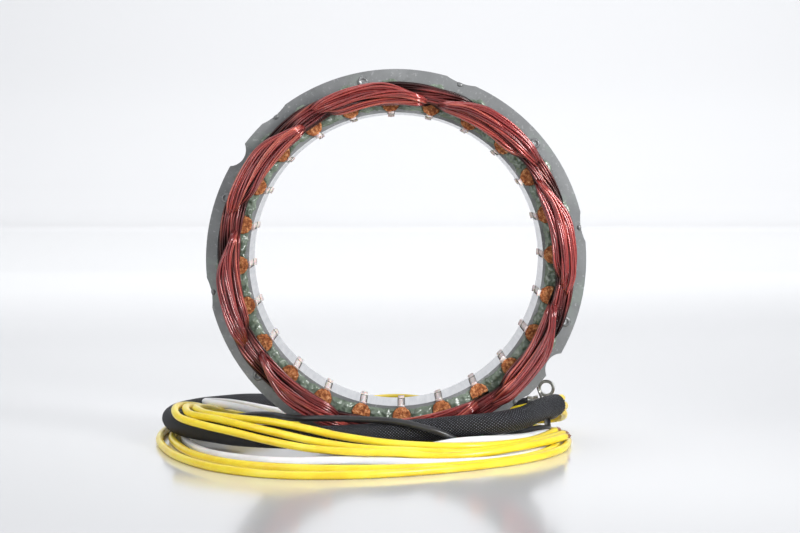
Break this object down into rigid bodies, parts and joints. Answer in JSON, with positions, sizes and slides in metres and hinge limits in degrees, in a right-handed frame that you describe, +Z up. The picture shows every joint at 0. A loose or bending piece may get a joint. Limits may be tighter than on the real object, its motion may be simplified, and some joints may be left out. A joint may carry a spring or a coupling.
{
  "type": "alternator stator",
  "caption": "Wound steel stator ring with enamelled copper end windings, fibre slot wedges and a sleeved lead harness coiled round its foot.",
  "frame": {"origin": "on the floor under the middle of the steel ring, which stands on its outside diameter", "axes": "+Z up, ring axis along Y with the front face towards -Y, +X to the right seen from the front"},
  "size_m": [0.1613, 0.1647, 0.14],
  "materials": {
    "core_steel": "stacked sheet edges, dull grey",
    "end_steel": "flat grey sheet, lightly rubbed",
    "rivet_steel": "dull bright steel",
    "weld_steel": "grey weld metal",
    "green_epoxy": "lumpy glossy sage green powder coat",
    "wedge_fibre": "orange brown fibre, rough cut ends",
    "enamelled_copper": "dark red enamel over copper wire, glossy",
    "splice_varnish": "varnished sleeving",
    "yellow_pvc": "smooth yellow insulation",
    "white_pvc": "smooth white insulation",
    "black_pvc": "smooth black insulation",
    "black_braid": "woven sleeve, slight sheen",
    "bare_copper": "stripped copper strands",
    "tinned_terminal": "dull tin plate"
  },
  "bodies": {
    "root": {"lamination_stack": "core_steel", "front_end_lamination": "end_steel", "back_end_lamination": "end_steel", "core_rivets": "rivet_steel", "core_weld_beads": "weld_steel", "slot_insulation": "green_epoxy", "slot_wedge_01": "wedge_fibre", "slot_wedge_02": "wedge_fibre", "slot_wedge_03": "wedge_fibre", "slot_wedge_04": "wedge_fibre", "slot_wedge_05": "wedge_fibre", "slot_wedge_06": "wedge_fibre", "slot_wedge_07": "wedge_fibre", "slot_wedge_08": "wedge_fibre", "slot_wedge_09": "wedge_fibre", "slot_wedge_10": "wedge_fibre", "slot_wedge_11": "wedge_fibre", "slot_wedge_12": "wedge_fibre", "slot_wedge_13": "wedge_fibre", "slot_wedge_14": "wedge_fibre", "slot_wedge_15": "wedge_fibre", "slot_wedge_16": "wedge_fibre", "slot_wedge_17": "wedge_fibre", "slot_wedge_18": "wedge_fibre", "slot_wedge_19": "wedge_fibre", "slot_wedge_20": "wedge_fibre", "slot_wedge_21": "wedge_fibre", "slot_wedge_22": "wedge_fibre", "slot_wedge_23": "wedge_fibre", "slot_wedge_24": "wedge_fibre", "phase_a_winding": "enamelled_copper", "phase_b_winding": "enamelled_copper", "phase_c_winding": "enamelled_copper", "phase_a_splice": "yellow_pvc", "phase_b_splice": "yellow_pvc", "phase_c_splice": "yellow_pvc", "star_splice": "splice_varnish", "neutral_splice": "white_pvc", "earth_tail": "black_pvc", "braided_sleeve": "black_braid", "yellow_lead_1": "yellow_pvc", "yellow_lead_2": "yellow_pvc", "yellow_lead_3": "yellow_pvc", "white_lead": "white_pvc", "yellow_1_bare_end": "bare_copper", "yellow_2_bare_end": "bare_copper", "yellow_3_bare_end": "bare_copper", "white_bare_end": "bare_copper", "black_lead_long": "black_pvc", "black_lead_short": "black_pvc", "ring_terminal_1": "tinned_terminal", "ring_terminal_2": "tinned_terminal"}
  },
  "joints": []
}
